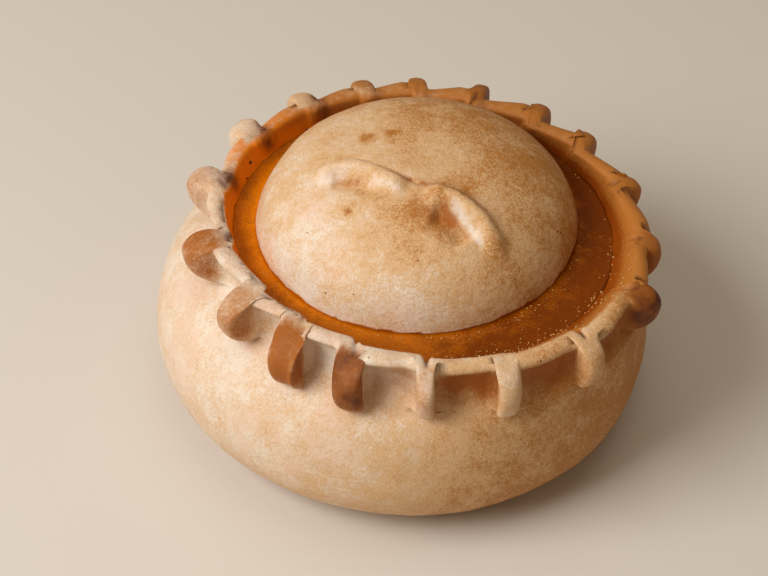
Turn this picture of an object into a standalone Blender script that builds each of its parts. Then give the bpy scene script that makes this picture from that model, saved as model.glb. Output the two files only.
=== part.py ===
"""A round raised savoury pie with a domed lid and a rim crimped into standing folds, and the juice in its moat.

Lengths are in metres and angles in degrees. +Z is up and -Y is the front. Angles run anticlockwise
from +X, seen from above. The origin is in the middle of the bounding box, at the height of the base.
"""

import math
from collections import namedtuple

import bmesh
import bpy
from mathutils import Matrix, Vector

# Case: the raised wall of the pie, which bulges low down and rests on a flat base
BASE_RADIUS = 0.0375
BELLY_RADIUS = 0.0553
BELLY_HEIGHT = 0.0185
SHOULDER_RADIUS = 0.0460
SHOULDER_HEIGHT = 0.0372
CASE_CENTRE = (-0.0040, 0.0000)
CASE_OVAL = 0.0012

# Rim: the thin wall that stands on the shoulder, with the edges of case and lid pinched together
RIM_RADIUS = 0.0438
RIM_HEIGHT = 0.0500
RIM_THICKNESS = 0.0032
RIM_CENTRE = (0.0016, -0.0025)
RIM_OVAL = 0.0032
OVAL_ANGLE = 144

# Lid: the dome that rises from the moat inside the rim
LID_RADIUS = 0.0357
LID_RISE = 0.0225
LID_CENTRE = (-0.0006, 0.0025)
LID_SQUARENESS = 2.25
MOAT_HEIGHT = 0.0415
MOAT_WIDTH = 0.0038

# Folds: where the rim is pinched outwards. One row a fold: the angle of its root, how far its tip is swept
# round from there, how far it stands out, its width, how far below the crest its lower end hangs, how far
# its tip droops, and the share of its reach by which the crest on its anticlockwise side leans out
FOLDS = (
    (269, 0, 0.0070, 0.0044, 0.0126, 0.0000, 0.30),
    (291, -3, 0.0066, 0.0052, 0.0126, 0.0000, 0.30),
    (312, -2, 0.0062, 0.0054, 0.0118, 0.0000, 0.50),
    (332, 2, 0.0062, 0.0062, 0.0102, 0.0004, 0.50),
    (352, 0, 0.0042, 0.0054, 0.0096, 0.0000, 0.60),
    (16, 0, 0.0054, 0.0054, 0.0092, 0.0000, 0.65),
    (35, 4, 0.0073, 0.0052, 0.0100, 0.0000, 0.65),
    (54, 2, 0.0092, 0.0052, 0.0110, 0.0000, 0.65),
    (75, -1, 0.0094, 0.0050, 0.0110, 0.0000, 0.55),
    (92, 0, 0.0078, 0.0050, 0.0110, 0.0000, 0.55),
    (108, -1, 0.0068, 0.0050, 0.0110, 0.0000, 0.45),
    (125, -1, 0.0074, 0.0052, 0.0110, 0.0000, 0.35),
    (146, -5, 0.0081, 0.0062, 0.0104, 0.0004, 0.30),
    (167, -5, 0.0086, 0.0070, 0.0104, 0.0006, 0.30),
    (190, -3, 0.0082, 0.0080, 0.0104, 0.0006, 0.35),
    (212, 0, 0.0092, 0.0080, 0.0118, 0.0006, 0.40),
    (229, 3, 0.0092, 0.0094, 0.0126, 0.0022, 0.30),
    (248, 2, 0.0086, 0.0076, 0.0126, 0.0018, 0.40),
)
FOLD_SHARE = 0.55
FOLD_BLUNTNESS = 0.75
FOLD_FLATNESS = 0.72
FOLD_NECKS = (0.85, 0.45)
FOLD_CREST = 0.38
FOLD_TOPPING = 2.3
FOLD_FULL = 0.45
FOLD_ROUNDNESS = 2.2
LEAN_START = 0.12
LEAN_FALL = 1.2
NOTCH_SHARE = 0.12
NOTCH_DEPTH = 0.0012

# Hollow: between the folds the rim's outer wall is set back under its crest, from one drop to the next
HOLLOW_DEPTH = 0.0010
HOLLOW_DROPS = (0.0012, 0.0040, 0.0098, 0.0126)

# Pinches on top of the lid: the line that each follows, how far it is raised or sunk, and its half width
PINCHES = (
    (((-22.0, -0.8), (-18.4, 0.4), (-14.7, 0.3), (-11.2, -1.9), (-8.7, -4.4), (-3.6, -9.2)), 0.0014, 0.0021),
    (((-0.6, -9.5), (2.4, -8.6), (5.1, -9.3), (7.9, -11.2), (12.9, -15.8), (14.8, -19.2)), 0.0021, 0.0022),
    (((-17.0, -5.5), (-9.0, -8.5)), -0.0009, 0.0026),
    (((2.0, -13.2), (7.5, -17.5)), -0.0019, 0.0031),
)
MM = 0.001

# Juice: it stands in the moat up to its level, a little clear of the crust
JUICE_LEVEL = 0.0440
JUICE_GAP = 0.0003

PLAIN_COLUMNS = 72
RIM_COLUMNS = 216

CRUST_COLOUR = (0.66, 0.42, 0.21, 1)
JUICE_COLOUR = (0.40, 0.13, 0.02, 1)

# A ring of the turned profile: its radius and height, how far it belongs to each of the three centres,
# whether the folds shape it, and how far their notches and the lean of the crest do
Station = namedtuple("Station", "radius height case rim lid fold notch lean", defaults=(0, 0, 0))


def case_stations():
    """The base, the belly and the shoulder, from the middle of the base up to the foot of the rim."""
    found = [Station(0.0, 0.0, 1, 0, 0)]
    for degrees in (0, 20, 40, 62, 90):
        turn = math.radians(degrees)
        radius = BASE_RADIUS + (BELLY_RADIUS - BASE_RADIUS) * math.sin(turn)
        height = BELLY_HEIGHT * (1 - math.cos(turn))
        found.append(Station(radius, height, 1, 0, 0))
    for degrees in (16, 32, 44, 56, 66, 76):
        turn = math.radians(degrees)
        rim = 1 - math.cos(turn)
        radius = BELLY_RADIUS - (BELLY_RADIUS - SHOULDER_RADIUS) * rim
        height = BELLY_HEIGHT + (SHOULDER_HEIGHT - BELLY_HEIGHT) * math.sin(turn)
        found.append(Station(radius, height, 1 - rim, rim, 0))
    return found


def rim_stations():
    """The rim's outer wall, its crest and its inner wall, down to the moat."""
    outer = RIM_RADIUS + RIM_THICKNESS / 2
    inner = RIM_RADIUS - RIM_THICKNESS / 2
    return [
        Station(SHOULDER_RADIUS + 0.0008, SHOULDER_HEIGHT + 0.0002, 0, 1, 0, 1),
        Station(outer + 0.0008, SHOULDER_HEIGHT + 0.0013, 0, 1, 0, 1),
        Station(outer + 0.0003, SHOULDER_HEIGHT + 0.0028, 0, 1, 0, 1),
        Station(outer, SHOULDER_HEIGHT + 0.0048, 0, 1, 0, 1),
        Station(outer, SHOULDER_HEIGHT + 0.0074, 0, 1, 0, 1, 0, 0.25),
        Station(outer, RIM_HEIGHT - 0.0028, 0, 1, 0, 1, 0, 0.80),
        Station(outer, RIM_HEIGHT - 0.0010, 0, 1, 0, 1, 0, 1),
        Station(RIM_RADIUS, RIM_HEIGHT, 0, 1, 0, 1, 0, 0.85),
        Station(inner, RIM_HEIGHT - 0.0008, 0, 1, 0, 0, 1, 0.45),
        Station(inner - 0.0005, RIM_HEIGHT - 0.0030, 0, 0.8, 0.2, 0, 0.5, 0.30),
        Station(inner - 0.0012, RIM_HEIGHT - 0.0055, 0, 0.6, 0.4, 0, 0, 0.10),
        Station(LID_RADIUS + MOAT_WIDTH, MOAT_HEIGHT + 0.0006, 0, 0.35, 0.65),
    ]


def lid_stations():
    """The lid, from the bottom of the moat to its top. Its rings are closer together where it is pinched."""
    found = [Station(LID_RADIUS + 0.0002, MOAT_HEIGHT, 0, 0, 1)]
    power = 2 / LID_SQUARENESS
    for degrees in (8, 17, 26, 34, 40, 45, 49, 53, 57, 60.5, 64, 67.5, 71, 74, 77, 80, 83, 86.5):
        turn = math.radians(degrees)
        radius = LID_RADIUS * math.cos(turn) ** power
        found.append(Station(radius, MOAT_HEIGHT + LID_RISE * math.sin(turn) ** power, 0, 0, 1))
    found.append(Station(0.0, MOAT_HEIGHT + LID_RISE, 0, 0, 1))
    return found


def fold_angle(number):
    """The angle of a fold's root in radians, where numbers past the last fold carry on round the rim."""
    turns, index = divmod(number, len(FOLDS))
    return math.radians(FOLDS[0][0] + (FOLDS[index][0] - FOLDS[0][0]) % 360 + 360 * turns)


def fold_near(column_angle):
    """A column's fold, its place across that fold from -1 to 1, and its plan angle in radians.

    The columns are shared out evenly between the folds, and the folds stand unevenly round the rim."""
    share = column_angle / math.tau * len(FOLDS)
    number = math.floor(share + 0.5)
    place = (share - number) * 2
    middle = fold_angle(number)
    neighbour = fold_angle(number + (1 if place >= 0 else -1))
    return number, place, middle + (neighbour - middle) * abs(place) / 2


def eased(value, low, high):
    """Rises smoothly from 0 at the low value to 1 at the high one."""
    share = min(1.0, max(0.0, (value - low) / (high - low)))
    return share * share * (3 - 2 * share)


def fold_depth(drop):
    """How much of its reach a fold has, from its crest at drop 0 to its rounded lower end at drop 1."""
    if drop < FOLD_FULL:
        return 1 - (1 - FOLD_CREST) * (1 - drop / FOLD_FULL) ** FOLD_TOPPING
    fall = (drop - FOLD_FULL) / (1 - FOLD_FULL)
    return max(0.0, 1 - fall**FOLD_ROUNDNESS) ** (1 / FOLD_ROUNDNESS)


def crest_lean(number, place):
    """How far the crest leans out: most beside a fold, and less and less on the way anticlockwise to the next."""
    behind = (place / 2) % 1
    fold = FOLDS[(number if place >= 0 else number - 1) % len(FOLDS)]
    return fold[2] * fold[6] * eased(behind, 0, LEAN_START) * (1 - behind) ** LEAN_FALL


def pie_point(station, column_angle):
    """Where a point of the turned profile ends up once the pie is out of round and its rim is crimped."""
    number, place, angle = fold_near(column_angle)
    _, sweep, reach, width, hang, droop, _ = FOLDS[number % len(FOLDS)]
    radius = station.radius
    height = station.height
    drop = RIM_HEIGHT - station.height
    lean = station.lean * crest_lean(number, place)
    out = 0.0
    if station.fold and abs(place) < FOLD_SHARE:
        turn = place / FOLD_SHARE * math.pi / 2
        out = math.cos(turn) ** FOLD_BLUNTNESS
        across = math.copysign(abs(math.sin(turn)) ** FOLD_FLATNESS, place) * width / 2
        neck = FOLD_NECKS[place > 0]
        across *= neck + (1 - neck) * out
        depth = fold_depth(drop / hang)
        swept = fold_angle(number) + across / RIM_RADIUS + math.radians(sweep) * out
        angle += min(1.0, 2 * depth) * (swept - angle)
        out *= depth
        radius += max(0.0, reach * out - lean)
        height -= droop * out
    radius += lean
    if station.fold:
        low, upper, lower, foot = HOLLOW_DROPS
        hollow = eased(drop, low, upper) * (1 - eased(drop, lower, foot))
        radius -= HOLLOW_DEPTH * hollow * (1 - min(1.0, 2.5 * out))
    if station.notch and abs(place) < NOTCH_SHARE:
        radius += NOTCH_DEPTH * station.notch
        height -= NOTCH_DEPTH / 2 * station.notch
    oval = (station.case * CASE_OVAL + station.rim * RIM_OVAL) * min(1.0, station.radius / BASE_RADIUS)
    radius += oval * math.cos(2 * (angle - math.radians(OVAL_ANGLE)))
    x = station.case * CASE_CENTRE[0] + station.rim * RIM_CENTRE[0] + station.lid * LID_CENTRE[0]
    y = station.case * CASE_CENTRE[1] + station.rim * RIM_CENTRE[1] + station.lid * LID_CENTRE[1]
    return Vector((x + radius * math.cos(angle), y + radius * math.sin(angle), height))


def distance_to_line(point, line):
    """Plan distance from a point to a line of straight stretches."""
    found = []
    for start, end in zip(line, line[1:]):
        along = end - start
        share = min(1.0, max(0.0, (point - start).dot(along) / along.length_squared))
        found.append((point - start - along * share).length)
    return min(found)


def pinch_height(point):
    """How far the pinches raise or sink the lid at a point."""
    found = 0.0
    for line, rise, spread in PINCHES:
        line = [Vector(corner) * MM for corner in line]
        found += rise * math.exp(-((distance_to_line(point.xy, line) / spread) ** 2))
    return found


def spun(bm, stations, columns, first, closed=False):
    """Spins one stretch of the profile about Z. Each vertex keeps the number of its station, from first on."""
    layer = bm.verts.layers.float.get("station") or bm.verts.layers.float.new("station")
    verts = []
    for number, station in enumerate(stations, first):
        vert = bm.verts.new((station.radius, 0, station.height))
        vert[layer] = number
        verts.append(vert)
    edges = [bm.edges.new(pair) for pair in zip(verts, verts[1:])]
    if closed:
        edges.append(bm.edges.new((verts[-1], verts[0])))
    bmesh.ops.spin(
        bm, geom=verts + edges, axis=(0, 0, 1), cent=(0, 0, 0), angle=math.tau, steps=columns, use_merge=True
    )


def finished(bm, name, colour, roughness, collection):
    """Turns the faces outwards and makes the object, with a material of its own."""
    bm.normal_update()
    bmesh.ops.recalc_face_normals(bm, faces=bm.faces)
    if bm.calc_volume(signed=True) < 0:
        bmesh.ops.reverse_faces(bm, faces=bm.faces)
    mesh = bpy.data.meshes.new(name)
    bm.to_mesh(mesh)
    bm.free()
    mesh.shade_smooth()
    material = bpy.data.materials.new(name)
    material.use_nodes = True
    shader = material.node_tree.nodes["Principled BSDF"]
    shader.inputs["Base Color"].default_value = colour
    shader.inputs["Roughness"].default_value = roughness
    shader.inputs["Metallic"].default_value = 0
    mesh.materials.append(material)
    obj = bpy.data.objects.new(name, mesh)
    collection.objects.link(obj)
    return obj


def crust_object(collection):
    """Case, rim and lid in one: three spun stretches, of which the rim's is finer, bridged at their edges."""
    zones = ((case_stations(), PLAIN_COLUMNS), (rim_stations(), RIM_COLUMNS), (lid_stations(), PLAIN_COLUMNS))
    stations = []
    seams = []
    bm = bmesh.new()
    for points, columns in zones:
        spun(bm, points, columns, len(stations))
        stations += points
        seams.append((len(stations) - 1, len(stations)))
    bmesh.ops.remove_doubles(bm, verts=bm.verts, dist=1e-6)
    layer = bm.verts.layers.float["station"]
    for seam in seams[:-1]:
        loops = [e for e in bm.edges if e.is_boundary and all(round(v[layer]) in seam for v in e.verts)]
        bmesh.ops.bridge_loops(bm, edges=loops)
    for vert in bm.verts:
        station = stations[round(vert[layer])]
        vert.co = pie_point(station, math.atan2(vert.co.y, vert.co.x))
        if station.lid == 1:
            vert.co.z += pinch_height(vert.co)
    return finished(bm, "crust", CRUST_COLOUR, 0.6, collection)


def between(low, high, height):
    """The station at a height between two others."""
    share = (height - low.height) / (high.height - low.height)
    return Station(*(a + (b - a) * share for a, b in zip(low, high)))


def juice_object(collection):
    """A ring that fills the moat up to the level of the juice."""
    lid = lid_stations()
    rim = rim_stations()
    lid_side = between(lid[0], lid[1], JUICE_LEVEL)
    rim_side = between(rim[-1], rim[-2], JUICE_LEVEL)
    stations = [
        lid_side._replace(radius=lid_side.radius + JUICE_GAP),
        lid[0]._replace(radius=lid[0].radius + JUICE_GAP, height=MOAT_HEIGHT + JUICE_GAP),
        rim[-1]._replace(height=rim[-1].height + JUICE_GAP, radius=rim[-1].radius - JUICE_GAP),
        rim_side._replace(radius=rim_side.radius - 2 * JUICE_GAP),
    ]
    bm = bmesh.new()
    spun(bm, stations, PLAIN_COLUMNS, 0, closed=True)
    layer = bm.verts.layers.float["station"]
    for vert in bm.verts:
        vert.co = pie_point(stations[round(vert[layer])], math.atan2(vert.co.y, vert.co.x))
    return finished(bm, "juice", JUICE_COLOUR, 0.12, collection)


def centre_on_base(objects):
    """Moves the meshes together so that the middle of their bounding box stands over the origin."""
    corners = [vert.co for obj in objects for vert in obj.data.vertices]
    x = (min(c.x for c in corners) + max(c.x for c in corners)) / 2
    y = (min(c.y for c in corners) + max(c.y for c in corners)) / 2
    for obj in objects:
        obj.data.transform(Matrix.Translation((-x, -y, 0)))


def main():
    for obj in list(bpy.data.objects):
        bpy.data.objects.remove(obj)
    collection = bpy.data.collections.new("savoury_pie")
    bpy.context.scene.collection.children.link(collection)
    centre_on_base([crust_object(collection), juice_object(collection)])


main()
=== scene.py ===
import math
import random

import bmesh
import bpy
from mathutils import Matrix, Vector, noise


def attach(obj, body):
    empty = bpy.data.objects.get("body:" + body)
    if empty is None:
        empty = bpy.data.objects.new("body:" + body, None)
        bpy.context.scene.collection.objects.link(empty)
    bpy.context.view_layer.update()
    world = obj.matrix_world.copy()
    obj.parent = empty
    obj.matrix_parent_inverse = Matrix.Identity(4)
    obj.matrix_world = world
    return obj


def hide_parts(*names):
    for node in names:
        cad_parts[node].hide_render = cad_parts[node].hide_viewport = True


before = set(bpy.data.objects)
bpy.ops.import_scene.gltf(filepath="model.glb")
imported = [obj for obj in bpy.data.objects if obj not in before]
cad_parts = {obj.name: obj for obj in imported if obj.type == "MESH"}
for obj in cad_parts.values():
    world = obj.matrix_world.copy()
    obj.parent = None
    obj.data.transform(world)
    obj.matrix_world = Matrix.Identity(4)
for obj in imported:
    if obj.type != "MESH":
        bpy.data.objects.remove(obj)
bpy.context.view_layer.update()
print("frame loaded")

mm = 0.001
sameSpot = 1e-7  # verts nearer than this become one
usualNoise = (0.3, 0.7)  # where most values of a noise texture lie


# Small helpers for shapes

def clamp(value, low=0.0, high=1.0):
    return min(high, max(low, value))


def smooth(value, low, high):
    t = clamp((value - low) / (high - low))
    return t * t * (3 - 2 * t)


def between(value, start, full, fading, gone):
    return smooth(value, start, full) * (1 - smooth(value, fading, gone))


def blob(distance, width):
    return math.exp(-((distance / width) ** 2))


def waves(point, *pairs):
    return sum(height * noise.noise(point * fineness) for height, fineness in pairs)


def facing(point, degrees):
    length = math.hypot(point.x, point.y) or 1
    turn = math.radians(degrees)
    return (point.x * math.cos(turn) + point.y * math.sin(turn)) / length


def onSide(point, side):
    degrees, low, high = side
    return smooth(facing(point, degrees), low, high)


# Distance to a line, signed by its side, and how far inside its ends the nearest spot is
def lineDistance(point, line):
    best, side, place = 1.0, 1.0, 0.0
    for number, (start, end) in enumerate(zip(line, line[1:])):
        along = end - start
        share = clamp((point - start).dot(along) / along.length_squared)
        away = point - start - along * share
        if away.length < best:
            best, side = away.length, math.copysign(1, along.cross(away))
            place = (number + share) / (len(line) - 1)
    return best * side, smooth(min(place, 1 - place), -0.02, 0.2)


def vertValues(bm, *names):
    return [bm.verts.layers.float.new(name) for name in names]


def columnOf(vert):
    return math.atan2(vert.co.y, vert.co.x)


def roughen(bm, look):
    bm.normal_update()
    for vert in bm.verts:
        rise = look["lump"] * noise.noise(vert.co / look["lumpSize"] + Vector(look["lumpShift"]))
        rise += look["dimple"] * noise.noise(vert.co / look["dimpleSize"])
        vert.co += vert.normal * rise * smooth(vert.co.z, *look["lumpyFrom"])


def newPiece(bm, name, material, nodeName=None):
    bm.normal_update()
    bmesh.ops.recalc_face_normals(bm, faces=bm.faces)
    if bm.calc_volume(signed=True) < 0:
        bmesh.ops.reverse_faces(bm, faces=bm.faces)
    mesh = bpy.data.meshes.new(name)
    bm.to_mesh(mesh)
    bm.free()
    mesh.shade_smooth()
    mesh.materials.append(material)
    piece = bpy.data.objects.new(name, mesh)
    bpy.context.scene.collection.objects.link(piece)
    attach(piece, "root")
    if nodeName:
        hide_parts(nodeName)
    return piece


# Small helpers for materials

def newMaterial(name):
    material = bpy.data.materials.new(name)
    material.use_nodes = True
    return material, material.node_tree, material.node_tree.nodes["Principled BSDF"]


def shaderNode(tree, kind, **values):
    node = tree.nodes.new(kind)
    for key, value in values.items():
        if hasattr(node, key):
            setattr(node, key, value)
        else:
            node.inputs[key].default_value = value
    return node


def noiseOf(tree, coords, scale, detail=3.0, roughness=0.55):
    node = shaderNode(tree, "ShaderNodeTexNoise", Scale=scale, Detail=detail, Roughness=roughness)
    tree.links.new(coords, node.inputs["Vector"])
    return node.outputs["Fac"]


def ramped(tree, value, low, high, outLow=0.0, outHigh=1.0):
    node = shaderNode(tree, "ShaderNodeMapRange", interpolation_type="SMOOTHSTEP")
    for key, number in (("From Min", low), ("From Max", high), ("To Min", outLow), ("To Max", outHigh)):
        node.inputs[key].default_value = number
    tree.links.new(value, node.inputs["Value"])
    return node.outputs["Result"]


def swung(tree, value, low, high):
    return ramped(tree, value, *usualNoise, low, high)


def maths(tree, operation, first, second):
    node = shaderNode(tree, "ShaderNodeMath", operation=operation)
    for socket, value in zip(node.inputs, (first, second)):
        if isinstance(value, (int, float)):
            socket.default_value = value
        else:
            tree.links.new(value, socket)
    return node.outputs[0]


def summed(tree, *values):
    total = values[0]
    for value in values[1:]:
        total = maths(tree, "ADD", total, value)
    return total


def mixed(tree, factor, first, second):
    node = shaderNode(tree, "ShaderNodeMix", data_type="RGBA")
    tree.links.new(factor, node.inputs[0])
    for socket, value in ((node.inputs[6], first), (node.inputs[7], second)):  # its two colour sockets
        if isinstance(value, tuple):
            socket.default_value = (*value, 1)
        else:
            tree.links.new(value, socket)
    return node.outputs[2]


def attributeOf(tree, name):
    return shaderNode(tree, "ShaderNodeAttribute", attribute_name=name).outputs["Fac"]


def specks(tree, coords, size, spread, share):
    node = shaderNode(tree, "ShaderNodeTexVoronoi", Scale=spread)
    tree.links.new(coords, node.inputs["Vector"])
    chance = noiseOf(tree, coords, spread * 0.9, 0)
    return maths(tree, "MULTIPLY", ramped(tree, node.outputs["Distance"], size, size * 0.5),
                 ramped(tree, chance, share, share + 0.03))


def bumped(tree, shader, height, strength, distance):
    bump = shaderNode(tree, "ShaderNodeBump", Strength=strength, Distance=distance)
    tree.links.new(height, bump.inputs["Height"])
    tree.links.new(bump.outputs["Normal"], shader.inputs["Normal"])


# The pie's form: a turned profile, out of round, with its rim crimped into folds

pie = {
    "baseRadius": 0.0375, "bellyRadius": 0.0553, "bellyHeight": 0.0185,
    "shoulderRadius": 0.0460, "shoulderHeight": 0.0372, "shoulderTurn": 77,
    "caseCentre": (-0.0040, 0.0), "caseOval": 0.0012,
    "rimRadius": 0.0438, "rimHeight": 0.0500, "rimThickness": 0.0032,
    "rimCentre": (0.0016, -0.0025), "rimOval": 0.0032, "ovalAngle": 144,
    "lidRadius": 0.0357, "lidRise": 0.0225, "lidCentre": (-0.0006, 0.0025), "lidSquareness": 2.25,
    "moatHeight": 0.0415, "moatWidth": 0.0038,
    "offset": (0.003729, -0.000017),  # brings the middle of its box over the origin
    "lowerStep": 6, "upperStep": 4,  # degrees between the case's rings, below and above the belly
    # rings for each row of the rim's outline, and the rows at its crest and at the top and foot of its inner wall
    "rimSteps": 4, "crestRow": 7, "wallTopRow": 8, "wallFootRow": 11,
}

foldShape = {
    # root angle, sweep of the tip, reach, width, hang below the crest, droop, lean, browning (past 1: scorched),
    # slit at its root, scorch inside
    "folds": (
        (269, 0, 0.0070, 0.0044, 0.0126, 0.0000, 0.30, 0.40, 0.8, 0.0),
        (291, -3, 0.0066, 0.0052, 0.0126, 0.0000, 0.30, 0.24, 0.1, 0.0),
        (312, -2, 0.0062, 0.0054, 0.0118, 0.0000, 0.50, 0.30, 1.0, 0.0),
        (332, 2, 0.0062, 0.0062, 0.0102, 0.0004, 0.50, 1.45, 0.7, 0.2),
        (352, 0, 0.0042, 0.0054, 0.0096, 0.0000, 0.60, 1.10, 0.4, 0.2),
        (16, 0, 0.0054, 0.0054, 0.0092, 0.0000, 0.65, 0.55, 0.6, 0.3),
        (35, 4, 0.0073, 0.0052, 0.0100, 0.0000, 0.65, 0.55, 0.4, 0.2),
        (54, 2, 0.0092, 0.0052, 0.0110, 0.0000, 0.65, 0.95, 0.3, 0.2),
        (75, -1, 0.0094, 0.0050, 0.0110, 0.0000, 0.55, 1.25, 0.6, 0.5),
        (92, 0, 0.0078, 0.0050, 0.0110, 0.0000, 0.55, 0.60, 0.2, 0.5),
        (108, -1, 0.0068, 0.0050, 0.0110, 0.0000, 0.45, 0.60, 0.1, 0.6),
        (125, -1, 0.0074, 0.0052, 0.0110, 0.0000, 0.35, 0.15, 0.1, 0.9),
        (146, -5, 0.0081, 0.0062, 0.0104, 0.0004, 0.30, 0.15, 0.1, 0.9),
        (167, -5, 0.0086, 0.0070, 0.0104, 0.0006, 0.30, 0.45, 0.1, 0.8),
        (190, -3, 0.0082, 0.0080, 0.0104, 0.0006, 0.35, 0.95, 0.1, 0.4),
        (212, 0, 0.0092, 0.0080, 0.0118, 0.0006, 0.40, 0.62, 0.0, 0.0),
        (229, 3, 0.0092, 0.0094, 0.0126, 0.0022, 0.30, 1.10, 0.2, 0.0),
        (248, 2, 0.0086, 0.0076, 0.0126, 0.0018, 0.40, 1.36, 0.5, 0.0),
    ),
    "share": 0.55, "bluntness": 0.75, "flatness": 0.72, "necks": (0.85, 0.45),
    "crest": 0.38, "full": 0.45, "topping": 2.3, "roundness": 2.2,
    "leanStart": 0.12, "leanFall": 1.2,
    "hollow": 0.0010, "hollowStart": (0.0012, 0.0040), "hollowEnd": (0.0098, 0.0126), "hollowClear": 2.5,
    "notchShare": 0.10, "notchDepth": 0.0013, "slitShare": 0.045, "slitDepth": 0.0009, "notchFall": 0.5,
    "grooved": {16: (0.05, 0.08, 0.0011)},  # fold number: place of the groove across it, half width, depth
}

foldCount = len(foldShape["folds"])
ringParts = ("radius", "height", "case", "rim", "lid", "fold", "notch", "lean")


def ring(radius, height, case=0.0, rim=0.0, lid=0.0, fold=0.0, notch=0.0, lean=0.0):
    return dict(zip(ringParts, (radius, height, case, rim, lid, fold, notch, lean)))


# Smooth curve through the rings, with this many steps from each to the next
def finer(rings, steps):
    found = []
    for index in range(len(rings) - 1):
        a, b, c, d = [rings[int(clamp(index + k, 0, len(rings) - 1))] for k in (-1, 0, 1, 2)]
        for step in range(steps):
            t = step / steps
            found.append({key: 0.5 * (2 * b[key] + (c[key] - a[key]) * t
                                      + (2 * a[key] - 5 * b[key] + 4 * c[key] - d[key]) * t**2
                                      + (3 * b[key] - a[key] - 3 * c[key] + d[key]) * t**3)
                          for key in ringParts})
    return found + [rings[-1]]


def caseRings():
    found = []
    for degrees in range(0, 90, pie["lowerStep"]):
        turn = math.radians(degrees)
        found.append(ring(pie["baseRadius"] + (pie["bellyRadius"] - pie["baseRadius"]) * math.sin(turn),
                          pie["bellyHeight"] * (1 - math.cos(turn)), case=1))
    for degrees in range(0, pie["shoulderTurn"], pie["upperStep"]):
        turn = math.radians(degrees)
        rim = 1 - math.cos(turn)
        found.append(ring(pie["bellyRadius"] - (pie["bellyRadius"] - pie["shoulderRadius"]) * rim,
                          pie["bellyHeight"] + (pie["shoulderHeight"] - pie["bellyHeight"]) * math.sin(turn),
                          case=1 - rim, rim=rim))
    return found


# Up the outside of the rim, over its crest, down its inner wall and across the moat
def rimRings():
    outer = pie["rimRadius"] + pie["rimThickness"] / 2
    inner = pie["rimRadius"] - pie["rimThickness"] / 2
    foot, top, moat = pie["shoulderHeight"], pie["rimHeight"], pie["moatHeight"]
    return finer([
        ring(pie["shoulderRadius"] + 0.0008, foot + 0.0002, rim=1, fold=1),
        ring(outer + 0.0008, foot + 0.0013, rim=1, fold=1),
        ring(outer + 0.0002, foot + 0.0028, rim=1, fold=1),
        ring(outer - 0.0002, foot + 0.0048, rim=1, fold=1),
        ring(outer - 0.0002, foot + 0.0074, rim=1, fold=1, lean=0.25),
        ring(outer, top - 0.0028, rim=1, fold=1, lean=0.80),
        ring(outer + 0.0001, top - 0.0010, rim=1, fold=1, lean=1),
        ring(pie["rimRadius"] + 0.0003, top, rim=1, fold=1, notch=0.1, lean=0.85),
        ring(inner + 0.0002, top - 0.0005, rim=1, notch=1, lean=0.45),
        ring(inner - 0.0005, top - 0.0030, rim=0.8, lid=0.2, notch=0.5, lean=0.30),
        ring(inner - 0.0012, top - 0.0055, rim=0.6, lid=0.4, lean=0.10),
        ring(pie["lidRadius"] + pie["moatWidth"], moat + 0.0006, rim=0.35, lid=0.65),
        ring(pie["lidRadius"] + 0.0002, moat, lid=1),
    ], pie["rimSteps"])


def lidRings(count, bunching):
    power = 2 / pie["lidSquareness"]
    found = [ring(pie["lidRadius"] + 0.0001, pie["moatHeight"] + 0.0002, lid=1)]
    for step in range(1, count):
        turn = math.radians(90 * (step / count) ** bunching)
        found.append(ring(pie["lidRadius"] * math.cos(turn) ** power,
                          pie["moatHeight"] + pie["lidRise"] * math.sin(turn) ** power, lid=1))
    return found


def foldAngle(number):
    turns, index = divmod(number, foldCount)
    first = foldShape["folds"][0][0]
    return math.radians(first + (foldShape["folds"][index][0] - first) % 360 + 360 * turns)


# The columns are shared out evenly between the folds, so this turns a column's angle into the true one
def foldNear(columnAngle):
    share = columnAngle / math.tau * foldCount
    number = math.floor(share + 0.5)
    place = (share - number) * 2
    middle = foldAngle(number)
    neighbour = foldAngle(number + (1 if place >= 0 else -1))
    return number, place, middle + (neighbour - middle) * abs(place) / 2


def columnAt(degrees):
    roots = [foldAngle(number) for number in range(foldCount + 1)]
    turn = roots[0] + (math.radians(degrees) - roots[0]) % math.tau
    number = max(k for k, root in enumerate(roots[:-1]) if root <= turn)
    share = (turn - roots[number]) / (roots[number + 1] - roots[number])
    return (number + share) / foldCount * math.tau


def foldDepth(drop):
    full, roundness = foldShape["full"], foldShape["roundness"]
    if drop < full:
        return 1 - (1 - foldShape["crest"]) * (1 - drop / full) ** foldShape["topping"]
    return max(0.0, 1 - ((drop - full) / (1 - full)) ** roundness) ** (1 / roundness)


# The crest leans out past the last fold, less and less up to the next
def crestLean(here, number, place):
    behind = (place / 2) % 1
    last = foldShape["folds"][(number if place >= 0 else number - 1) % foldCount]
    return (here["lean"] * last[2] * last[6] * smooth(behind, 0, foldShape["leanStart"])
            * (1 - behind) ** foldShape["leanFall"])


def hollowOf(here, out):
    drop = pie["rimHeight"] - here["height"]
    deep = between(drop, *foldShape["hollowStart"], *foldShape["hollowEnd"])
    return foldShape["hollow"] * deep * (1 - min(1.0, foldShape["hollowClear"] * out)) * here["fold"]


def notchOf(slit, place):
    notch = slit * foldShape["notchDepth"] * blob(place, foldShape["notchShare"])
    return notch + slit * foldShape["slitDepth"] * blob(place, foldShape["slitShare"])


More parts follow.
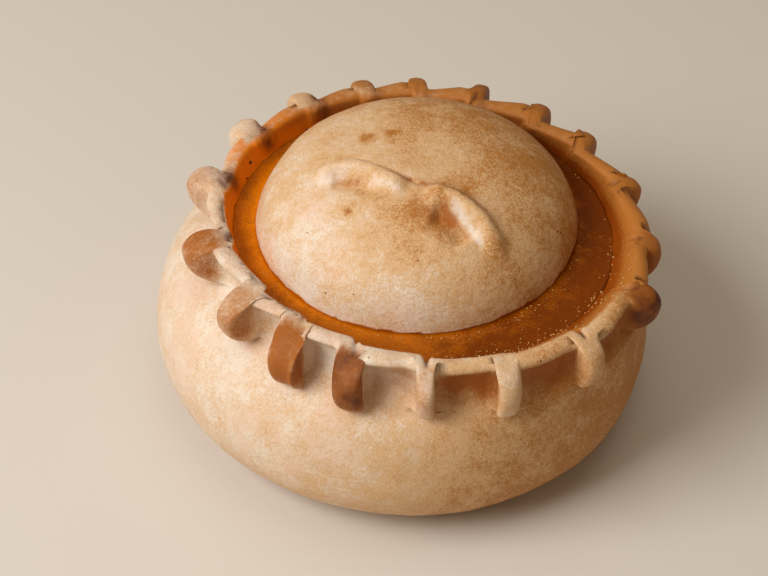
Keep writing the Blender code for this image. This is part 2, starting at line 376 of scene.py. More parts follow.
# Where a ring's vert goes: its point, how far out on a fold it is, its place by the fold, and the fold
def piePoint(here, columnAngle):
    number, place, angle = foldNear(columnAngle)
    fold = foldShape["folds"][number % foldCount]
    _, sweep, reach, width, hang, droop, _, _, slit, _ = fold
    radius, height = here["radius"], here["height"]
    out = 0.0
    lean = crestLean(here, number, place)
    if here["fold"] > 0 and abs(place) < foldShape["share"]:
        turn = place / foldShape["share"] * math.pi / 2
        out = math.cos(turn) ** foldShape["bluntness"]
        across = math.copysign(abs(math.sin(turn)) ** foldShape["flatness"], place) * width / 2
        neck = foldShape["necks"][place > 0]
        across *= neck + (1 - neck) * out
        depth = foldDepth((pie["rimHeight"] - height) / hang) * min(1.0, here["fold"])
        swept = foldAngle(number) + across / pie["rimRadius"] + math.radians(sweep) * out
        out *= depth
        radius += max(0.0, reach * out - lean)
        height -= droop * out
        if number % foldCount in foldShape["grooved"]:
            middle, halfWidth, deep = foldShape["grooved"][number % foldCount]
            radius -= deep * out * blob(place - middle, halfWidth)
        angle += min(1.0, 2 * depth) * (swept - angle)
    radius += lean
    radius -= hollowOf(here, out)
    notch = notchOf(slit, place)
    radius += notch * here["notch"]
    height -= foldShape["notchFall"] * notch * here["notch"]
    oval = here["case"] * pie["caseOval"] + here["rim"] * pie["rimOval"]
    oval *= min(1.0, here["radius"] / pie["baseRadius"])
    radius += oval * math.cos(2 * (angle - math.radians(pie["ovalAngle"])))
    centre = [here["case"] * pie["caseCentre"][k] + here["rim"] * pie["rimCentre"][k]
              + here["lid"] * pie["lidCentre"][k] + pie["offset"][k] for k in (0, 1)]
    point = Vector((centre[0] + radius * math.cos(angle), centre[1] + radius * math.sin(angle), height))
    return point, out, place, fold


def spunProfile(bm, rings, columns, first=0, closed=False):
    layer = bm.verts.layers.float.get("ringNumber") or bm.verts.layers.float.new("ringNumber")
    verts = []
    for number, here in enumerate(rings, first):
        vert = bm.verts.new((here["radius"], 0, here["height"]))
        vert[layer] = number
        verts.append(vert)
    edges = [bm.edges.new(pair) for pair in zip(verts, verts[1:])]
    if closed:
        edges.append(bm.edges.new((verts[-1], verts[0])))
    bmesh.ops.spin(bm, geom=verts + edges, axis=(0, 0, 1), cent=(0, 0, 0), angle=math.tau,
                   steps=columns, use_merge=True)
    return layer


def closeEnds(bm):
    bmesh.ops.holes_fill(bm, edges=[edge for edge in bm.edges if edge.is_boundary], sides=0)


# Baked dough: pale where it is floury, through tan to brown, stained orange by the juice, with painted light and
# shade mixed into its colours

dough = {
    "pale": (0.78, 0.665, 0.540), "tan": (0.67, 0.41, 0.20), "toasted": (0.46, 0.185, 0.036),
    # the brightest orange on the next line is the stain painted as if lit, for the inner wall and the lid's foot on
    # the left
    "brown": (0.36, 0.105, 0.012), "stain": (0.27, 0.052, 0.001), "paintedLight": (0.88, 0.235, 0.001),
    "lip": (0.45, 0.155, 0.025), "rosy": (0.76, 0.49, 0.34), "dark": (0.090, 0.020, 0.006),
    # fineness, detail and roughness of each noise
    "noises": {"grain": (2600, 3, 0.65), "flake": (1300, 4, 0.70), "mottle": (620, 3, 0.6),
               "patch": (150, 3, 0.5), "blush": (95, 2, 0.5)},
    # how far each noise swings the toast, the stain and the lip
    "toastSwing": {"grain": 0.13, "flake": 0.12, "mottle": 0.09, "patch": 0.14},
    "stainSwing": 0.08, "lipSwing": 0.16,
    # how strongly the flakes and patches mark what is brown
    "brownFlakes": (0.25, 0.75, 0.78, 1.15), "brownPatches": (0.85, 1.10),
    # toast at which tan and toasted begin and are full, and the same for the other mixes; the toast value also
    # carries painted light and shade
    "tanFrom": (-0.20, 0.5), "toastedFrom": (0.45, 1.0), "rosyFrom": (0.45, 0.65), "rosyUntil": (0.6, 0.0),
    "rosyShare": 0.45, "stainFrom": (0.2, 0.8), "pitSize": 0.10, "pitSpread": 330, "pitShade": 0.8,
    "roughness": (0.42, 0.62), "stainGloss": 0.12, "specular": 0.22, "flakeRelief": 2.0,
    "bump": 0.40, "bumpDepth": 0.00020,
}


def doughMaterial(name, speckShare, uneven):
    material, tree, shader = newMaterial(name)
    coords = shaderNode(tree, "ShaderNodeTexCoord").outputs["Object"]
    noises = {key: noiseOf(tree, coords, *values) for key, values in dough["noises"].items()}
    grain, flake, mottle, patch, blush = noises.values()
    toastAndPaintedLight = summed(tree, attributeOf(tree, "toastAndPaintedLight"),
                   *(swung(tree, noises[key], -swing * uneven, swing * uneven)
                     for key, swing in dough["toastSwing"].items()))
    colour = mixed(tree, ramped(tree, toastAndPaintedLight, *dough["tanFrom"]), dough["pale"], dough["tan"])
    colour = mixed(tree, ramped(tree, toastAndPaintedLight, *dough["toastedFrom"]), colour, dough["toasted"])
    rosy = maths(tree, "MULTIPLY", ramped(tree, blush, *dough["rosyFrom"]),
                 ramped(tree, toastAndPaintedLight, *dough["rosyUntil"]))
    colour = mixed(tree, maths(tree, "MULTIPLY", rosy, dough["rosyShare"]), colour, dough["rosy"])
    brown = maths(tree, "MULTIPLY", attributeOf(tree, "brown"), ramped(tree, flake, *dough["brownFlakes"]))
    brown = maths(tree, "MULTIPLY", brown, swung(tree, patch, *dough["brownPatches"]))
    colour = mixed(tree, ramped(tree, brown, 0, 1), colour, dough["brown"])
    stained = summed(tree, attributeOf(tree, "stain"),
                     swung(tree, mottle, -dough["stainSwing"], dough["stainSwing"]))
    stained = ramped(tree, stained, *dough["stainFrom"])
    # painted light: the stain turns bright orange where it is painted as if lit
    stainColour = mixed(tree, attributeOf(tree, "paintedLight"), dough["stain"], dough["paintedLight"])
    lip = summed(tree, attributeOf(tree, "lip"), swung(tree, flake, -dough["lipSwing"], dough["lipSwing"]))
    stainColour = mixed(tree, ramped(tree, lip, 0, 1), stainColour, dough["lip"])
    colour = mixed(tree, stained, colour, stainColour)
    pits = specks(tree, coords, dough["pitSize"], dough["pitSpread"], speckShare)
    colour = mixed(tree, maths(tree, "MULTIPLY", pits, dough["pitShade"]), colour, dough["dark"])
    colour = mixed(tree, ramped(tree, attributeOf(tree, "dark"), 0, 1), colour, dough["dark"])
    tree.links.new(colour, shader.inputs["Base Color"])
    rough = maths(tree, "SUBTRACT", swung(tree, flake, *dough["roughness"]),
                  maths(tree, "MULTIPLY", stained, dough["stainGloss"]))
    tree.links.new(rough, shader.inputs["Roughness"])
    shader.inputs["Specular IOR Level"].default_value = dough["specular"]
    relief = summed(tree, grain, maths(tree, "MULTIPLY", flake, dough["flakeRelief"]), mottle)
    bumped(tree, shader, maths(tree, "SUBTRACT", relief, pits), dough["bump"], dough["bumpDepth"])
    return material


# Case and rim in one piece

caseLook = {
    "caseColumns": 324, "foldColumns": 54, "speckShare": 0.68, "uneven": 0.85,
    "lump": 0.00045, "lumpSize": 0.020, "lumpShift": (0, 0, 0), "dimple": 0.00012, "dimpleSize": 0.0035,
    "lumpyFrom": (0.0002, 0.003),  # heights at which the lumps begin and are full
    # direction in degrees, and how squarely a point faces it where the side begins and where it is full. Sides
    # towards the front right carry painted shade; sides towards the front, the panel left of the front fold and the
    # left carry painted light
    "sides": {"back": (65, -0.45, 0.20), "frontRight": (325, 0.30, 0.95), "shade": (302, 0.70, 0.96),
              "deepShade": (330, 0.5, 0.95), "backLeft": (150, 0.55, 0.9), "front": (292, 0.55, 0.9),
              "paintedLightPanel": (257, 0.88, 0.98), "cleanFolds": (142, 0.5, 0.9), "paintedLight": (170, 0.35, 0.95),
              "cleanLip": (168, 0.5, 0.95), "crackAndSeamShade": (205, 0.66, 0.9)},
    # the side facing the key light: the case is painted paler towards it and darker away from it
    "litSide": 196,
    # rings past the crest, inwards, where each band begins, is full, starts to fade and is gone
    "bands": {"crest": (-9, -4, 3, 8), "scorch": (-5, 0, 6, 16), "root": (-1, 1.5, 4, 7)},
    "outside": (0, 3), "inside": (2, 6), "crestStain": (-12, 0),
    # heights, drops below the crest, and shares of a fold's reach and hang, where each begins and is full
    "foot": (0.030, 0.004), "nearRim": (0.0365, 0.0430), "lip": (0.0448, 0.0490),
    "recessDrop": (0.0010, 0.0050), "recessOut": (0.0, 0.35), "padOut": (0.08, 0.45), "padEnd": (0.62, 1.0),
    "stainOut": (0.02, 0.3),
    # what each term adds to the toast: the pad term is browning and the foot term darkens towards the bottom; the
    # lit, near-rim and front-right terms paint shade away from the key light, and the front-fold, front-crest and
    # pale-panel terms paint light on the front
    "toastAndPaintedLight": {"plain": 0.42, "lit": -0.38, "foot": 0.10, "nearRim": 0.25, "frontRight": 0.22, "pad": 0.32,
              "backLeft": -0.14, "frontFold": -0.80, "frontCrest": -0.32, "paintedLightPanel": -0.45},
    # what each term adds to the brown: the pad and crest terms are browning; the recess, shade and deep-shade terms
    # paint shade in the recesses under the crest at the front, over some browning there; the front-crest term paints
    # light on the front crest
    "brown": {"pad": 0.93, "recess": 0.08, "shade": 0.85, "deepShade": 0.30, "crest": 0.28,
              "frontCrest": -0.20},
    "stain": {"crest": 0.62, "cleanFolds": -0.60, "cleanLip": -0.75},
    # the crack term is partly cracks and partly painted shade along the crest's inner edge, the root term is painted
    # shade in the slit at each fold's root, and the scorch and pad terms are scorching
    "dark": {"crackAndSeamShade": 0.70, "root": 0.80, "scorch": 0.92, "pad": 1.3},
    "padPale": 0.55,
    # strength and fineness of the noise in each
    "padWaves": ((0.45, 210), (0.25, 600)), "recessWaves": (0.5, 330), "crestWaves": (0.35, 240),
    "roughWaves": ((1.0, 260), (0.4, 900)), "crackWaves": (1.2, 180),
    "crackDepth": 0.0005, "crackPast": 3.3, "crackWidth": 0.8, "crackFrom": (-0.30, 0.1),
    "sideCrack": 0.35, "sideCrackPast": 2.0, "sideCrackWidth": 0.6, "sideCrackFrom": (0.34, 0.48),
    "scorchBehind": 0.36, "scorchWidth": 0.34, "scorchRough": (0.95, 0.9), "padRough": 0.8, "rootWidth": 1.1,
}


# A dark line a few rings in from the crest, with a fainter one nearer it: partly cracks and partly painted shade
# where the crest's inner edge meets the moat
def crackAndSeamShadeLine(point, past, rough, here):
    look = caseLook
    wander = look["crackPast"] + waves(point, look["crackWaves"])
    line = blob(past - wander, look["crackWidth"]) * here * smooth(rough, *look["crackFrom"])
    return line + (look["sideCrack"] * blob(past - look["sideCrackPast"], look["sideCrackWidth"])
                   * smooth(rough, *look["sideCrackFrom"]))


# How toasted, brown, stained and dark the dough is at a point of the case or rim, and how cracked; the toast, brown
# and dark values also carry painted light and shade, and the fourth value paints light on the stain at the left
def caseTones(point, past, out, place, fold):
    look = caseLook
    toastAndLightOf, brownOf, stainOf, darkOf = look["toastAndPaintedLight"], look["brown"], look["stain"], look["dark"]
    side = {name: onSide(point, values) for name, values in look["sides"].items()}
    hang, tone, slit, scorch = fold[4], *fold[7:]
    drop = pie["rimHeight"] - point.z
    inside = smooth(past, *look["inside"])
    lit = facing(point, look["litSide"])
    crest = between(past, *look["bands"]["crest"])
    nearRim = smooth(point.z, *look["nearRim"]) * (1 - smooth(past, *look["outside"]))
    recess = nearRim * (1 - smooth(out, *look["recessOut"])) * smooth(drop, *look["recessDrop"])
    pad = smooth(out, *look["padOut"]) * (1 - look["padPale"] * smooth(drop / hang, *look["padEnd"]))
    pad *= 1 + waves(point, *look["padWaves"])
    # painted shade away from the key light, near the rim and on the front right; painted light on the front folds,
    # the front crest and the panel left of the front fold
    toastAndPaintedLight = (toastAndLightOf["plain"] + toastAndLightOf["lit"] * lit + toastAndLightOf["foot"] * smooth(point.z, *look["foot"])
             + toastAndLightOf["nearRim"] * nearRim * (1 - lit) / 2 + toastAndLightOf["frontRight"] * side["frontRight"]
             + toastAndLightOf["pad"] * min(tone, 1.0) * pad + toastAndLightOf["backLeft"] * out * side["backLeft"]
             + toastAndLightOf["frontFold"] * side["front"] * out * clamp(1 - tone)
             + toastAndLightOf["frontCrest"] * side["front"] * crest
             + toastAndLightOf["paintedLightPanel"] * recess * side["paintedLightPanel"])
    # painted shade in the recesses under the crest, strongest towards the front right, over some browning
    shaded = (brownOf["recess"] + brownOf["shade"] * side["shade"]
              + brownOf["deepShade"] * side["deepShade"])
    crestBrown = brownOf["crest"] + brownOf["frontCrest"] * side["front"] + waves(point, look["crestWaves"])
    brown = clamp(brownOf["pad"] * tone * pad + recess * shaded * (1 + waves(point, look["recessWaves"]))
                  + crest * (1 - pad) * crestBrown)
    onCrest = smooth(past, *look["crestStain"]) * (1 - inside)
    clean = stainOf["cleanFolds"] * smooth(out, *look["stainOut"]) * side["cleanFolds"]
    stain = clamp(inside + (stainOf["crest"] + clean) * side["back"] * onCrest)
    lip = clamp(smooth(point.z, *look["lip"]) * (1 + stainOf["cleanLip"] * side["cleanLip"]))
    rough = waves(point, *look["roughWaves"])
    crackAndSeamShade = crackAndSeamShadeLine(point, past, rough, side["crackAndSeamShade"])
    burnt = scorch * blob(place + look["scorchBehind"], look["scorchWidth"])
    burnt *= between(past, *look["bands"]["scorch"])
    plain, swing = look["scorchRough"]
    # painted shade in the slit at the fold's root
    root = slit * blob(place, foldShape["slitShare"] * look["rootWidth"])
    root *= between(past, *look["bands"]["root"])
    dark = clamp(darkOf["crackAndSeamShade"] * crackAndSeamShade + darkOf["root"] * root
                 + darkOf["scorch"] * burnt * clamp(plain + swing * rough)
                 + darkOf["pad"] * pad * max(0.0, tone - 1) * (1 + look["padRough"] * rough))
    return (toastAndPaintedLight, brown, stain, side["paintedLight"], lip, dark), crackAndSeamShade


def makeCase():
    bm = bmesh.new()
    lower, upper = caseRings(), rimRings()
    layer = spunProfile(bm, lower, caseLook["caseColumns"])
    spunProfile(bm, upper, caseLook["foldColumns"] * foldCount, len(lower))
    bmesh.ops.remove_doubles(bm, verts=bm.verts, dist=sameSpot)
    seam = (len(lower) - 1, len(lower))
    bmesh.ops.bridge_loops(bm, edges=[edge for edge in bm.edges if edge.is_boundary
                                      and all(round(vert[layer]) in seam for vert in edge.verts)])
    closeEnds(bm)
    rings = lower + upper
    crestRing = len(lower) + pie["crestRow"] * pie["rimSteps"]
    layers = vertValues(bm, "toastAndPaintedLight", "brown", "stain", "paintedLight", "lip", "dark")
    for vert in bm.verts:
        number = round(vert[layer])
        point, out, place, fold = piePoint(rings[number], columnOf(vert))
        tones, crackAndSeamShade = caseTones(point, number - crestRing, out, place, fold)
        for key, value in zip(layers, tones):
            vert[key] = value
        vert.co = point
        vert.co.z -= caseLook["crackDepth"] * clamp(crackAndSeamShade)
    roughen(bm, caseLook)
    material = doughMaterial("caseDough", caseLook["speckShare"], caseLook["uneven"])
    return newPiece(bm, "pieCase", material, "crust")


# The domed lid, with the pinches on its top

lidLook = {
    "columns": 400, "rings": 160, "bunching": 0.75, "speckShare": 0.64, "uneven": 1.0,
    "lump": 0.00035, "lumpSize": 0.014, "lumpShift": (7, 3, 1), "dimple": 0.00007, "dimpleSize": 0.0014,
    "lumpyFrom": (0.042, 0.045),  # heights at which the lumps begin and are full
    "pinchedAbove": 0.012,  # height over the moat
    # line in mm, rise, half width behind the line, half width before it, sharpness of its edges, toast on it; in the
    # two dents that toast is painted shade
    "pinches": (
        (((-19.5, -1.8), (-17.5, -0.9), (-14.6, -0.3), (-10.6, -0.9), (-7.4, -2.6), (-4.2, -4.8), (-1.0, -7.0),
          (1.0, -9.0)), 0.0019, 0.0017, 0.0023, 3.0, 0.0),
        (((4.0, -9.6), (7.2, -9.8), (10.2, -10.9), (12.9, -12.7), (16.6, -15.9), (19.2, -19.4),
          (19.6, -22.5)), 0.0025, 0.0021, 0.0020, 2.6, 0.05),
        (((-15.5, -4.0), (-13.0, -4.6), (-9.5, -5.9), (-5.3, -8.4)), -0.0010, 0.0021, 0.0021, 2.0, 0.15),
        (((5.6, -13.9), (9.0, -15.2), (11.8, -17.9), (13.6, -20.6)), -0.0019, 0.0029, 0.0029, 2.0, 0.25),
        (((-11.0, 1.9), (-9.0, 1.1), (-6.5, -0.7), (-3.6, -2.3), (1.2, -5.3), (4.6, -7.4)),
         -0.0010, 0.0005, 0.0005, 2.0, 0.0),
    ),
    # middle and width in mm and toast of each broad patch; the three small ones are brown spots, and the broad ones
    # are partly painted light and shade, paler on the left and browner on the right and around the dent by the right
    # pinch
    "patches": (
        (2.0, -14.3, 5, 0.22), (5.5, -21.5, 6, 0.12), (-2.0, -18.0, 8, 0.20), (21.4, -23.1, 4.5, 0.28),
        (13.2, -5.2, 4, 0.20), (25.5, 4.8, 9, 0.15), (10.5, 17.7, 10, 0.08), (-0.7, -31.2, 8, -0.12),
        (-13.9, 19.2, 8, -0.12), (-21.9, -18.4, 10, -0.15), (-8.2, 9.1, 1.8, 0.40), (-2.3, 9.7, 1.7, 0.40),
        (-11.7, -12.5, 1.5, 0.45), (-17.0, -1.0, 3, -0.15),
    ),
    # line in mm, width in mm and strength of each mark, browner or (below 0) paler. The paler marks are painted
    # highlights on the lit flanks of the pinches; the browner ones are partly brown spots and partly painted shade in
    # the crease behind the left pinch, under that pinch and in the dent by the right pinch
    "marks": (
        (((-9.6, 1.3), (-7.6, 0.0)), 0.60, 1.3),
        (((-7.6, 0.0), (-6.5, -0.7), (-3.6, -2.3), (1.2, -5.3)), 0.40, 1.0),
        (((-3.6, -2.3), (1.2, -5.3), (4.6, -7.4)), 1.0, 0.40),
        (((-13.9, -3.9), (-9.8, -5.0)), 1.0, 0.55),
        (((3.6, -14.0), (9.0, -14.8)), 2.8, 0.58),
        (((8.2, -12.8), (10.6, -15.0), (13.8, -18.6)), 1.0, 0.50),
        (((4.6, -6.6), (9.8, -6.6), (13.2, -8.0)), 1.2, 0.40),
        (((9.9, -8.3), (13.6, -9.8), (16.8, -12.6), (19.4, -16.6)), 0.8, 0.45),
        (((-11.9, -12.2), (-11.4, -12.8)), 0.7, 0.6),
        (((-7.3, 9.7), (-6.6, 9.4)), 0.8, 0.5),
        (((-2.9, 10.2), (-2.2, 9.8)), 0.8, 0.5),
        (((16.4, -6.2), (12.0, 4.0)), 5.0, 0.12),
        (((10.6, -13.0), (14.0, -16.6), (16.2, -20.0)), 0.9, -0.7),
        (((-6.5, -6.0), (-2.5, -8.2), (-0.5, -9.4)), 1.0, -0.5),
        (((-17.5, -3.4), (-13.0, -2.6)), 1.2, -0.4),
    ),
    "markRagged": (0.5, 700),
    # painted shade: the lid is darker towards the back right, away from the key light
    "plainToast": 0.50, "paintedShadeToast": 0.36, "sideAlong": (0.80, 0.60), "sideReach": 0.034,  # browner at the back right
    # the juice stains the lid's foot: height, how that wanders, and how soon it fades upwards
    "stainHeight": 0.0446, "stainWaves": ((0.0006, 240), (0.0002, 900)), "stainFade": 0.0005,
    # painted light on the lid's stained foot, towards the left
    "paintedLight": 0.45, "paintedLightFrom": (-0.01, 0.03),
}


def makeLid():
    bm = bmesh.new()
    rings = lidRings(lidLook["rings"], lidLook["bunching"])
    layer = spunProfile(bm, rings, lidLook["columns"])
    bmesh.ops.remove_doubles(bm, verts=bm.verts, dist=sameSpot)
    closeEnds(bm)
    toastAndPaintedLight, brown, stain, paintedLight = vertValues(bm, "toastAndPaintedLight", "brown", "stain", "paintedLight")
    pinches = [([Vector(corner) * mm for corner in line], *rest) for line, *rest in lidLook["pinches"]]
    marks = [([Vector(corner) * mm for corner in line], width * mm, tone)
             for line, width, tone in lidLook["marks"]]
    for vert in bm.verts:
        here = rings[round(vert[layer])]
        vert.co = piePoint(here, columnOf(vert))[0]
        extra, brownAndShade = 0.0, 0.0
        if here["height"] > pie["moatHeight"] + lidLook["pinchedAbove"]:
            for line, rise, behind, before, sharpness, tone in pinches:
                away, fade = lineDistance(vert.co.xy, line)
                near = fade * math.exp(-(abs(away) / (behind if away > 0 else before)) ** sharpness)
                vert.co.z += rise * near
                extra += tone * near
            ragged = 1 + waves(vert.co, lidLook["markRagged"])
            for line, width, tone in marks:
                near = blob(lineDistance(vert.co.xy, line)[0], width * ragged)
                if tone < 0:
                    extra += tone * near
                else:
                    brownAndShade += tone * near
        side = vert.co.xy.dot(Vector(lidLook["sideAlong"])) / lidLook["sideReach"]
        for x, y, width, tone in lidLook["patches"]:
            extra += tone * blob((vert.co.xy - Vector((x, y)) * mm).length, width * mm)
        # the lid's toast carries painted shade towards the back right and the painted light and shade of the pinches,
        # marks and patches
        vert[toastAndPaintedLight] = lidLook["plainToast"] + lidLook["paintedShadeToast"] * clamp(side, -1, 1) + extra
        vert[brown] = clamp(brownAndShade)
        level = lidLook["stainHeight"] + waves(vert.co, *lidLook["stainWaves"])
        vert[stain] = 1 - smooth(vert.co.z, level, level + lidLook["stainFade"])
        # painted light on the left of the lid's stained foot
        vert[paintedLight] = lidLook["paintedLight"] * smooth(-vert.co.x, *lidLook["paintedLightFrom"])
    roughen(bm, lidLook)
    material = doughMaterial("lidDough", lidLook["speckShare"], lidLook["uneven"])
    return newPiece(bm, "pieLid", material)


# The juice in the moat

juiceLook = {
    "level": 0.0440, "columns": 432, "inner": 0.0356, "width": 0.0056, "rimShare": 0.60, "surfaceRings": 10,
    "dip": 0.00025, "ripple": 0.00010, "rippleSize": 0.003,
    # the juice's colours in painted shade, in half light and in painted light; the painted light set below, with some
    # noise, chooses between them
    "deep": (0.17, 0.033, 0.0005), "bright": (0.40, 0.100, 0.001), "golden": (0.74, 0.200, 0.001),
    "fleck": (0.85, 0.55, 0.22),
    "cloud": 260, "cloudFrom": (0.35, 0.65), "cloudSwing": 0.11, "grain": 1800, "grainSwing": 0.10,
    "brightFrom": (0, 0.6), "goldenFrom": (0.55, 1.3),
    "fleckSize": 0.14, "fleckSpread": 1100, "fleckShare": 0.62, "fleckShade": 0.7,
    "roughness": (0.16, 0.34), "specular": 0.16, "bump": 0.3, "bumpDepth": 0.0002,
    # light added everywhere, on the left, by the lid and at the back left, and the directions of the two sides
    "paintedLight": (-0.05, 0.65, 0.30, 0.25), "leftSide": (205, -0.2, 0.9), "backLeft": (165, 0.3, 0.95), "lidFall": 1.5,
}


def juiceMaterial():
    material, tree, shader = newMaterial("panJuice")
    coords = shaderNode(tree, "ShaderNodeTexCoord").outputs["Object"]
    cloud = noiseOf(tree, coords, juiceLook["cloud"], 3)
    grain = noiseOf(tree, coords, juiceLook["grain"], 3)
    cloudSwing, grainSwing = juiceLook["cloudSwing"], juiceLook["grainSwing"]
    light = summed(tree, attributeOf(tree, "paintedLight"),
                   ramped(tree, cloud, *juiceLook["cloudFrom"], -cloudSwing, cloudSwing),
                   swung(tree, grain, -grainSwing, grainSwing))
    colour = mixed(tree, ramped(tree, light, *juiceLook["brightFrom"]), juiceLook["deep"], juiceLook["bright"])
    colour = mixed(tree, ramped(tree, light, *juiceLook["goldenFrom"]), colour, juiceLook["golden"])
    flecks = specks(tree, coords, juiceLook["fleckSize"], juiceLook["fleckSpread"], juiceLook["fleckShare"])
    colour = mixed(tree, maths(tree, "MULTIPLY", flecks, juiceLook["fleckShade"]), colour, juiceLook["fleck"])
    tree.links.new(colour, shader.inputs["Base Color"])
    tree.links.new(swung(tree, grain, *juiceLook["roughness"]), shader.inputs["Roughness"])
    shader.inputs["Specular IOR Level"].default_value = juiceLook["specular"]
    bumped(tree, shader, summed(tree, cloud, grain, flecks), juiceLook["bump"], juiceLook["bumpDepth"])
    return material


# A ring of the juice's surface, this share of the way from the lid to the rim
def juiceRing(share, rise):
    rim = juiceLook["rimShare"] * share
    return ring(juiceLook["inner"] + juiceLook["width"] * share, juiceLook["level"] + rise, lid=1 - rim, rim=rim)


def makeJuice():
    bm = bmesh.new()
    level, surface = juiceLook["level"], juiceLook["surfaceRings"]
    rings = [ring(0.0352, level + 0.0004, lid=1)]
    for step in range(1, surface):
        share = step / surface
        rings.append(juiceRing(share, juiceLook["dip"] * (2 * share - 1) ** 2))
    rings.append(ring(0.0415, level + 0.0006, rim=0.62, lid=0.38))
    rings.append(ring(0.0400, level - 0.0012, rim=0.45, lid=0.55))
    rings.append(ring(0.0356, level - 0.0016, lid=1))
    layer = spunProfile(bm, rings, juiceLook["columns"], closed=True)
    # painted light on the juice: brighter on the left, by the lid and at the back left
    paintedLight, = vertValues(bm, "paintedLight")
    plain, left, byLid, backLeft = juiceLook["paintedLight"]
    for vert in bm.verts:
        number = round(vert[layer])
        vert.co = piePoint(rings[number], columnOf(vert))[0]
        near = max(0.0, 1 - number / surface)
        vert[paintedLight] = (plain + left * onSide(vert.co, juiceLook["leftSide"]) + byLid * near**juiceLook["lidFall"]
                      + backLeft * onSide(vert.co, juiceLook["backLeft"]))
        if number <= surface:
            vert.co.z += juiceLook["ripple"] * noise.noise(vert.co / juiceLook["rippleSize"])
    return newPiece(bm, "panJuice", juiceMaterial(), "juice")


# Crumbs on the rim's inner edge, bubbles on the juice and burnt specks, each kind one piece

bits = {
    # angle and its scatter in degrees, and how far up the inner wall from the moat
    "crumbs": 120, "crumbSize": (0.00012, 0.00028), "crumbAngle": (305, 22), "crumbRise": (0.15, 1.05),
    "crumbFlat": 0.8, "crumbColour": (0.66, 0.42, 0.17), "crumbRoughness": 0.5,
    # angle and its scatter or range, the share by the rim, and the places by the rim and by the lid
    "bubbles": 170, "bubbleSize": (0.00010, 0.00024), "bubbleAngle": (295, 26), "bubbleRange": (200, 400),
    "bubblesByRim": 0.7, "bubbleSpread": 0.12, "bubblePlaces": (0.98, 0.05),
    "bubbleFlat": 0.7, "bubbleColour": (0.78, 0.42, 0.10), "bubbleRoughness": 0.15,
    # angle in degrees, how far from the moat up the wall, half size
    "specks": ((152, 0.55, 0.00050), (157, 0.30, 0.00030), (160, 0.15, 0.00022), (128, 0.30, 0.00030),
               (20, 0.25, 0.00035), (31, 0.60, 0.00022), (303, 0.02, 0.00035), (300, 0.04, 0.00024),
               (297, 0.0, 0.00022), (308, 0.05, 0.00028), (335, 0.20, 0.00020)),
    "speckLift": 0.0003, "speckFlat": 0.5, "speckColour": (0.020, 0.010, 0.006), "speckRoughness": 0.5,
    "grain": 2600, "deeper": 0.6, "slimness": 0.75,
}


def bitMaterial(name, colour, roughness):
    material, tree, shader = newMaterial(name)
    coords = shaderNode(tree, "ShaderNodeTexCoord").outputs["Object"]
    cloud = noiseOf(tree, coords, bits["grain"], 2)
    deeper = tuple(bits["deeper"] * channel for channel in colour)
    tree.links.new(mixed(tree, cloud, deeper, colour), shader.inputs["Base Color"])
    tree.links.new(swung(tree, cloud, roughness, roughness + 0.2), shader.inputs["Roughness"])
    bumped(tree, shader, cloud, 0.3, 0.0001)
    return material


def addBit(bm, place, size, flat, turn):
    shape = (Matrix.Translation(place) @ Matrix.Rotation(turn, 4, "Z") @ Matrix.Rotation(turn * 1.7, 4, "X")
             @ Matrix.Diagonal((size, size * bits["slimness"], size * flat, 1)))
    bmesh.ops.create_icosphere(bm, subdivisions=2, radius=1, matrix=shape)


def wallPlace(rings, degrees, share):
    foot, top = pie["wallFootRow"] * pie["rimSteps"], pie["wallTopRow"] * pie["rimSteps"]
    return piePoint(rings[round(foot + (top - foot) * share)], columnAt(degrees))[0]


def makeBits():
    chance = random.Random(7)
    rings = rimRings()
    crumbs, bubbles, burnt = bmesh.new(), bmesh.new(), bmesh.new()
    for _ in range(bits["crumbs"]):
        degrees = chance.gauss(*bits["crumbAngle"])
        place = wallPlace(rings, degrees, chance.uniform(*bits["crumbRise"]))
        addBit(crumbs, place, chance.uniform(*bits["crumbSize"]), bits["crumbFlat"], chance.uniform(0, 6))
    byRim, byLid = bits["bubblePlaces"]
    for _ in range(bits["bubbles"]):
        near, anywhere = chance.gauss(*bits["bubbleAngle"]), chance.uniform(*bits["bubbleRange"])
        turn = columnAt(chance.choice((near, anywhere)))
        outer = chance.random() < bits["bubblesByRim"]
        away = abs(chance.gauss(0, bits["bubbleSpread"]))
        here = juiceRing(byRim - away if outer else byLid + away, juiceLook["dip"])
        size = chance.uniform(*bits["bubbleSize"])
        addBit(bubbles, piePoint(here, turn)[0], size, bits["bubbleFlat"], chance.uniform(0, 6))
    for degrees, share, size in bits["specks"]:
        lift = Vector((0, 0, bits["speckLift"] if share else 0.0))
        addBit(burnt, wallPlace(rings, degrees, share) + lift, size, bits["speckFlat"], size * 9000)
    newPiece(crumbs, "crumbs", bitMaterial("crumb", bits["crumbColour"], bits["crumbRoughness"]))
    newPiece(bubbles, "bubbles", bitMaterial("bubble", bits["bubbleColour"], bits["bubbleRoughness"]))
    newPiece(burnt, "burntSpecks", bitMaterial("burnt", bits["speckColour"], bits["speckRoughness"]))


# Camera, floor and light

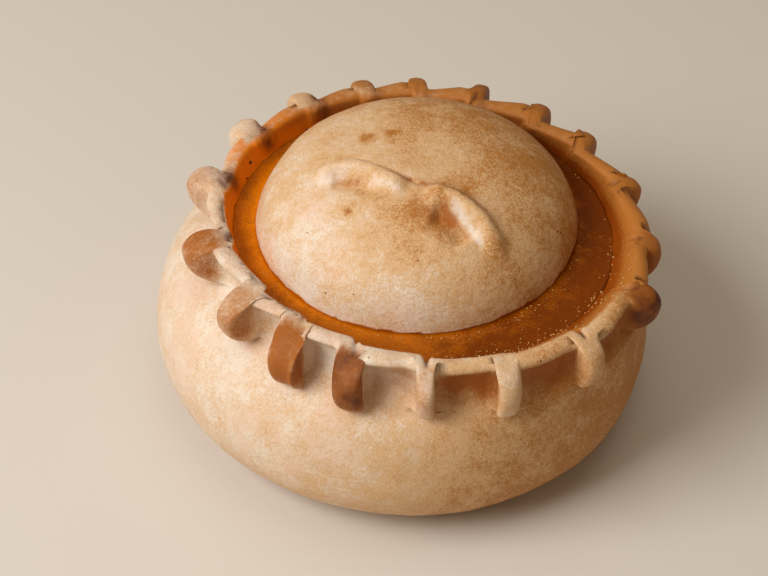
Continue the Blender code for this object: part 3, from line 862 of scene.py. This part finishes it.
stage = {
    "focal": 100.8, "elevation": 44.0, "distance": 0.489, "target": (-0.00408, 0.00098, 0.0250),
    "clip": (0.02, 20), "floor": (0.66, 0.60, 0.525), "floorSize": 4, "floorRoughness": 0.8,
    "sky": 0.24, "skyColour": (1.0, 0.80, 0.56), "lightAim": (0, 0, 0.03),
    # place, size, power and colour of each light
    "lights": {
        "keyLight": ((-0.55, -0.27, 0.60), 0.5, 6.6, (1.0, 1.0, 1.0)),
        "fillLight": ((0.5, -0.6, 0.5), 0.6, 0.15, (1.0, 0.90, 0.80)),
        "topLight": ((0.05, 0.05, 0.9), 0.6, 1.4, (1.0, 0.96, 0.90)),
    },
}


def addLight(name, place, size, power, colour):
    light = bpy.data.lights.new(name, "AREA")
    light.size = size
    light.energy = power
    light.color = colour
    lamp = bpy.data.objects.new(name, light)
    bpy.context.scene.collection.objects.link(lamp)
    lamp.location = place
    lamp.rotation_euler = (Vector(stage["lightAim"]) - Vector(place)).to_track_quat("-Z", "Y").to_euler()


def makeCamera():
    tilt = math.radians(stage["elevation"])
    away = Vector((0, -math.cos(tilt), math.sin(tilt)))
    camera = bpy.data.objects.new("camera", bpy.data.cameras.new("camera"))
    camera.data.lens = stage["focal"]
    camera.data.clip_start, camera.data.clip_end = stage["clip"]
    camera.location = Vector(stage["target"]) + away * stage["distance"]
    camera.rotation_euler = (-away).to_track_quat("-Z", "Y").to_euler()
    bpy.context.scene.collection.objects.link(camera)
    bpy.context.scene.camera = camera


def makeFloor():
    bm = bmesh.new()
    bmesh.ops.create_grid(bm, x_segments=1, y_segments=1, size=stage["floorSize"])
    mesh = bpy.data.meshes.new("floor")
    bm.to_mesh(mesh)
    bm.free()
    floor = bpy.data.objects.new("floor", mesh)
    material, tree, shader = newMaterial("floorPaint")
    shader.inputs["Base Color"].default_value = (*stage["floor"], 1)
    shader.inputs["Roughness"].default_value = stage["floorRoughness"]
    mesh.materials.append(material)
    bpy.context.scene.collection.objects.link(floor)


def makeLight():
    for name, values in stage["lights"].items():
        addLight(name, *values)
    world = bpy.data.worlds.new("studio")
    world.use_nodes = True
    world.node_tree.nodes["Background"].inputs["Color"].default_value = (*stage["skyColour"], 1)
    world.node_tree.nodes["Background"].inputs["Strength"].default_value = stage["sky"]
    bpy.context.scene.world = world
    bpy.context.scene.view_settings.view_transform = "Standard"


makeCamera()
makeFloor()
makeLight()
print("camera, floor and lights made")
makeCase()
print("case and rim made")
makeLid()
print("lid made")
makeJuice()
print("juice made")
makeBits()
print("crumbs, bubbles and specks made")
